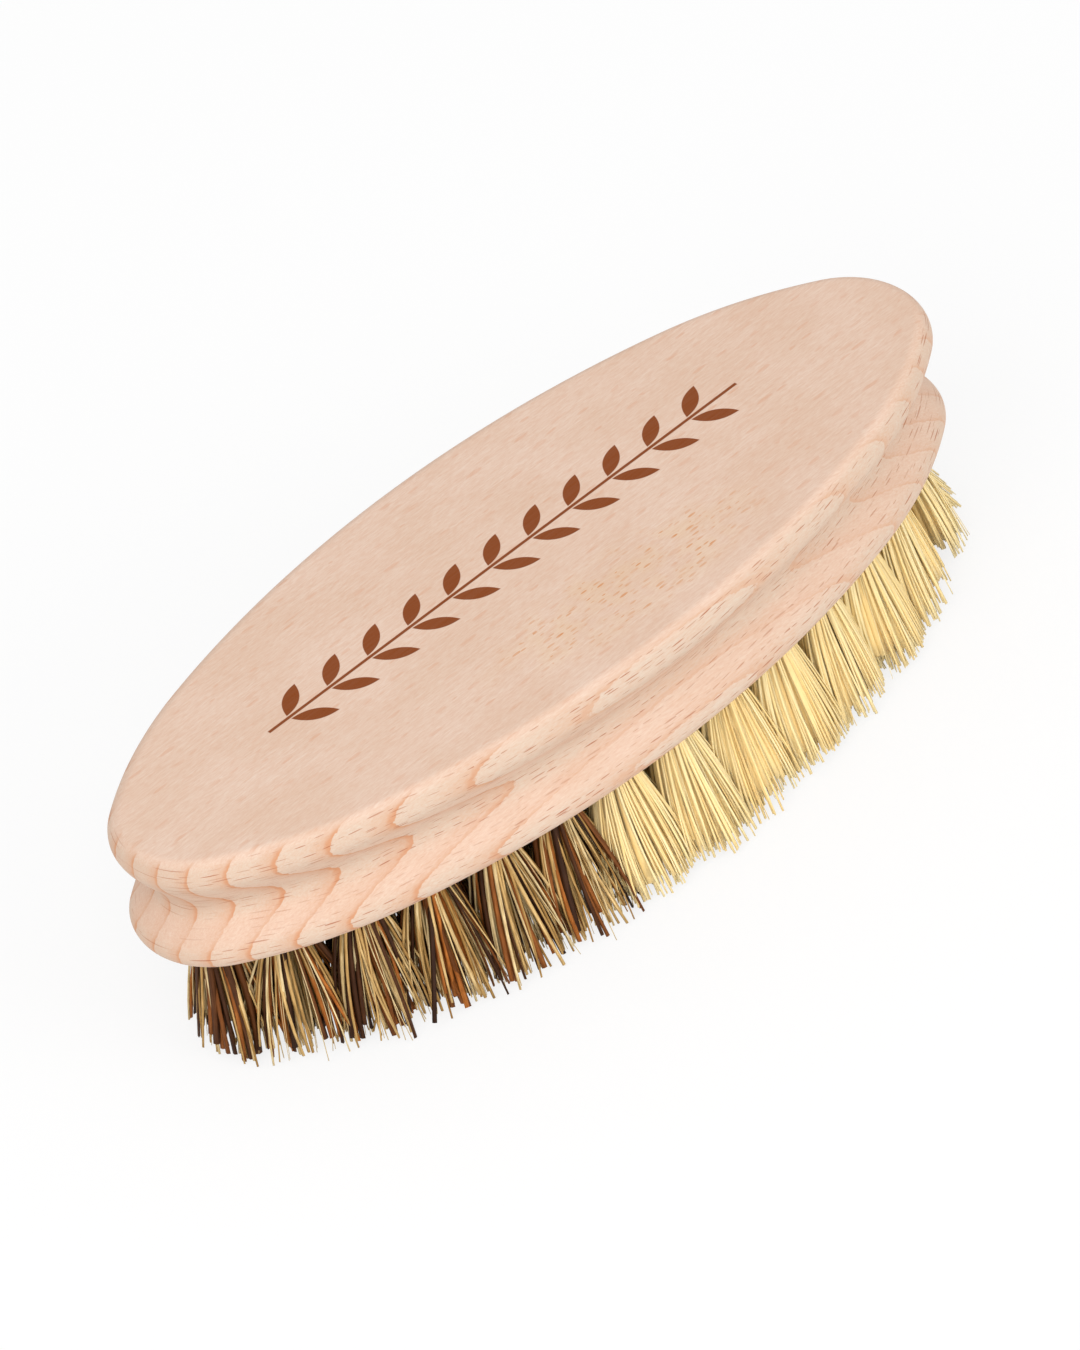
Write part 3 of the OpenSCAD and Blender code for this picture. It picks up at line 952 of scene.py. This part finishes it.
# %% Stiff tufts
STALK_COUNT, STRAW_COUNT, HAIR_COUNT = 46, 80, 22
STIFF_COUNT = STALK_COUNT + STRAW_COUNT + HAIR_COUNT
STIFF_RADIUS = HOLE_D / 2 - 0.4 * MM
STIFF_SPREAD = 1.7, 2.9, 1.7
STIFF_CLEAR = 0.3 * MM
STIFF_CUT, HAIR_CUT_SHARE = 1.2 * MM, 0.2
STIFF_WANDER = 1.25 * MM
STIFF_STRAY_SHARE, STIFF_STRAY = 0.08, 1.8
STALK_WIDTH_MM, STRAW_WIDTH_MM, HAIR_WIDTH_MM = (0.5, 1.15), (0.32, 0.68), 0.16
STALK_FLATNESS, STRAW_FLATNESS = 0.5, 0.7
STALK_TAPER, STRAW_TAPER = 0.12, 0.3
STALK_TONE, STRAW_TONE, HAIR_TONE = (0.01, 0.49), (0.51, 0.99), 0.97


def stiff_tuft(tuft):
    """One piece for the stalks, the straw and the hairs of a stiff tuft, in this order. Hairs
    are cut less than the others."""
    number = np.arange(STIFF_COUNT)
    is_stalk = number < STALK_COUNT
    is_hair = number >= STALK_COUNT + STRAW_COUNT

    def by_kind(stalk, straw):
        """An even draw from one range for stalks and from another for straw."""
        drawn = rng.uniform(*stalk, STIFF_COUNT), rng.uniform(*straw, STIFF_COUNT)
        return np.where(is_stalk, *drawn)

    start = disc(STIFF_COUNT, STIFF_RADIUS)
    cut = np.abs(rng.normal(0, STIFF_CUT, STIFF_COUNT))
    length = FIBRE_L - STIFF_CLEAR - np.where(is_hair, HAIR_CUT_SHARE * cut, cut)
    wander = rng.normal(0, STIFF_WANDER, (STIFF_COUNT, 2))
    stray = rng.random(STIFF_COUNT) < STIFF_STRAY_SHARE
    wander[stray] *= STIFF_STRAY
    paths = fibre_paths(tuft, start, length, wander, *STIFF_SPREAD)
    width = by_kind(STALK_WIDTH_MM, STRAW_WIDTH_MM)
    width = np.where(is_hair, HAIR_WIDTH_MM, width) * MM
    thickness = width * np.where(is_stalk, STALK_FLATNESS, STRAW_FLATNESS)
    twist = face_out(start)
    taper = np.where(is_stalk, STALK_TAPER, STRAW_TAPER)
    tubes = fibre_tubes(paths, width, thickness, twist, taper)
    tone = np.where(is_hair, HAIR_TONE, by_kind(STALK_TONE, STRAW_TONE))
    return tuft_object(tuft[0] + "_fibres", tubes, tone)


print("fibres in a stiff tuft:", STIFF_COUNT)

# %% [markdown]
# ## Fibre materials
# Thousands of fibres could each have a material, but two are enough, because the tone is in the
# mesh: each fibre takes it through a ramp of the colours that such fibre has. Fine streaks run
# along its skin, and where they darken it, it grows warmer. The soft fibre is pale yellow with a
# sheen, the light that fine hairs catch from the side. The stiff mixture runs from nearly black
# stalks through orange brown to straw, and is duller.

# %% Fibre materials
FIBRE_PLACES, TONE_PLACES = 18.0, 4000.0
DRIFT_PART = 0.6
GREEN_POWER, BLUE_POWER = 1.2, 1.6


def fibre_material(name, ramp_stops, streak_share, finish):
    """A fibre whose colour is its tone's place on a ramp, times a shade. The shade is 1 less up
    to the streaks' share, times 1 less up to a part of that share for the drift. Green takes a
    power of it and blue a higher one. The pattern's place is the length, the skin and a great
    many times the tone, so that two fibres seldom have the same streaks."""
    material, shader, w = new_material(name)
    tone, along, _ = w.split(w.node("ShaderNodeUVMap", uv_map="fibre").outputs[0])
    skin = w.split(w.node("ShaderNodeUVMap", uv_map="skin").outputs[0])[0]
    ramp = w.node("ShaderNodeValToRGB", {0: tone})
    stops = ramp.color_ramp.elements
    while len(stops) < len(ramp_stops):
        stops.new(0.5)
    for stop, (at, colour) in zip(stops, ramp_stops):
        stop.position = at
        stop.color = colour
    place = w.join(w.times(along, FIBRE_PLACES), skin, w.times(tone, TONE_PLACES))
    streak = w.group(STRANDS, Place=place, Length=2.2, Width=0.5)[0]
    drift = w.group(DRIFT, Place=place, Size=2.5)[0]
    drift_share = DRIFT_PART * streak_share
    shade = w.times(w.line(streak, streak_share, 1 - streak_share),
                    w.line(drift, drift_share, 1 - drift_share))
    green, blue = (w.math("POWER", shade, power) for power in (GREEN_POWER, BLUE_POWER))
    warm = w.node("ShaderNodeCombineColor", {0: shade, 1: green, 2: blue}).outputs[0]
    colour = w.mix(1.0, ramp.outputs[0], warm, "MULTIPLY")
    w.feed(shader, {"Base Color": colour, **finish})
    return material


soft_fibre = fibre_material("tampico", [
    (0.0, linear(255, 222, 150)),
    (0.35, linear(255, 231, 168)),
    (0.75, linear(255, 238, 186)),
    (1.0, linear(255, 234, 162))], 0.11, {
        "Roughness": 0.5, "Specular IOR Level": 0.4, "Sheen Weight": 0.5,
        "Sheen Roughness": 0.4, "Sheen Tint": linear(255, 240, 200)})
stiff_fibre = fibre_material("union_mixture", [
    (0.0, linear(52, 28, 12)),
    (0.2, linear(92, 54, 24)),
    (0.38, linear(160, 96, 42)),
    (0.5, linear(222, 138, 62)),
    (0.52, linear(184, 142, 78)),
    (0.75, linear(240, 204, 140)),
    (1.0, linear(255, 236, 190))], 0.45, {"Roughness": 0.62, "Specular IOR Level": 0.2})
print("fibre materials:", soft_fibre.name, stiff_fibre.name)

# %% [markdown]
# ## All tufts
# One mesh could hold every fibre, but each tuft is its own piece, because it stands for the
# plain tuft of the exact model, which is left out of the picture. Its place along the block
# decides its fibre: the stiff mixture fills the end up to a line a little short of the middle.

# %% Make all tufts
STIFF_END = -12 * MM
face_count = 0
for tuft in tufts:
    stiff = tuft[1] < STIFF_END
    piece = stiff_tuft(tuft) if stiff else soft_tuft(tuft)
    piece.data.materials.append(stiff_fibre if stiff else soft_fibre)
    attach(piece, "root")
    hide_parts(tuft[0])
    face_count += len(piece.data.polygons)
print("tufts:", len(tufts), "faces in them:", face_count)

# %% [markdown]
# ## Staples
# Each tuft is held by a bent wire at the bottom of its hole. The exact model has the wires in
# their right shape, so they are not made again, and only their finish is added: zinc, bright
# and a little uneven.

# %% Staple wire
def staple_material():
    """Galvanised wire, whose tone and roughness follow a slow drift."""
    material, shader, w = new_material("staple_wire")
    place, _ = w.surface()
    drift = w.group(DRIFT, Place=place, Size=2.0)[0]
    colour = w.mix(drift, linear(196, 194, 188), linear(168, 166, 160))
    w.feed(shader, {"Base Color": colour, "Roughness": w.line(drift, 0.15, 0.3), "Metallic": 1.0})
    return material


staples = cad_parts["staples"]
staples.data.materials.clear()
staples.data.materials.append(staple_material())
print("corners of the staples:", len(staples.data.vertices))

# %% [markdown]
# ## Floor
# A pale floor under the tips, much larger than the picture, so that it has no edge. More light
# would make it white and bleach the brush too. Instead the camera sees it as four fifths white
# light and one fifth itself, so that it is nearly white and keeps a faint shadow, and the light
# that it throws on the brush is that of a plain pale floor. Glosses see what the camera sees.

# %% Floor
FLOOR_HALF = 4.0
FLOOR_LIFT = 0.8
WHITE = (1, 1, 1, 1)


def seen_ray(w):
    """1 for a ray from the camera, in a gloss or through glass, and 0 for light on its way to a
    surface."""
    paths = w.node("ShaderNodeLightPath").outputs
    seen = w.math("MAXIMUM", paths["Is Camera Ray"], paths["Is Glossy Ray"])
    return w.math("MAXIMUM", seen, paths["Is Transmission Ray"])


def floor_material():
    """A pale floor that is mixed with white light where it is seen."""
    material, shader, w = new_material("floor")
    w.feed(shader, {"Base Color": (0.9, 0.9, 0.9, 1), "Roughness": 0.9})
    glow = w.node("ShaderNodeEmission", {"Color": WHITE, "Strength": 1.0})
    lift = w.node("ShaderNodeMixShader", {
        0: w.times(seen_ray(w), FLOOR_LIFT), 1: shader.outputs[0], 2: glow.outputs[0]})
    w.feed(w.tree.nodes["Material Output"], {"Surface": lift.outputs[0]})
    return material


floor_corners = np.array([[-1, -1, 0], [1, -1, 0], [1, 1, 0], [-1, 1, 0]]) * FLOOR_HALF
floor = mesh_object("floor", floor_corners, np.array([[0, 1, 2, 3]]), smooth=False)
floor.data.materials.append(floor_material())
print("floor in metres:", 2 * FLOOR_HALF)

# %% [markdown]
# ## Light
# Plain studio light: a sky that is the same all round, one wide lamp high on the left and one
# low on the right, for the side of the block and the fibres under it. A small lamp would give
# hard shadows and bright spots on the wood. To the camera the sky is white.

# %% Lamps and sky
SKY_FILL = 0.72


def soft_lamp(name, direction, distance, size, watts):
    """A square lamp at a distance in a direction from the brush, facing it."""
    lamp = bpy.data.lights.new(name, "AREA")
    lamp.shape = "SQUARE"
    lamp.size = size
    lamp.energy = watts
    holder = add_object(name, lamp)
    aim = Vector(direction).normalized()
    holder.location = aim * distance
    holder.rotation_mode = "QUATERNION"
    holder.rotation_quaternion = aim.to_track_quat("Z", "Y")
    return holder


lamps = [
    soft_lamp("key", (-0.9, -0.6, 0.95), distance=1.2, size=0.9, watts=7.2),
    soft_lamp("front", (0.4, -1.0, 0.3), distance=1.3, size=1.0, watts=7.4)]

world = bpy.data.worlds.new("sky")
world.use_nodes = True
sky = Wiring(world.node_tree)
strength = sky.line(seen_ray(sky), 1 - SKY_FILL, SKY_FILL)
sky.feed(sky.tree.nodes["Background"], {"Color": WHITE, "Strength": strength})
bpy.context.scene.world = world
bpy.context.scene.view_settings.view_transform = "Standard"
print("lamps:", [lamp.name for lamp in lamps])
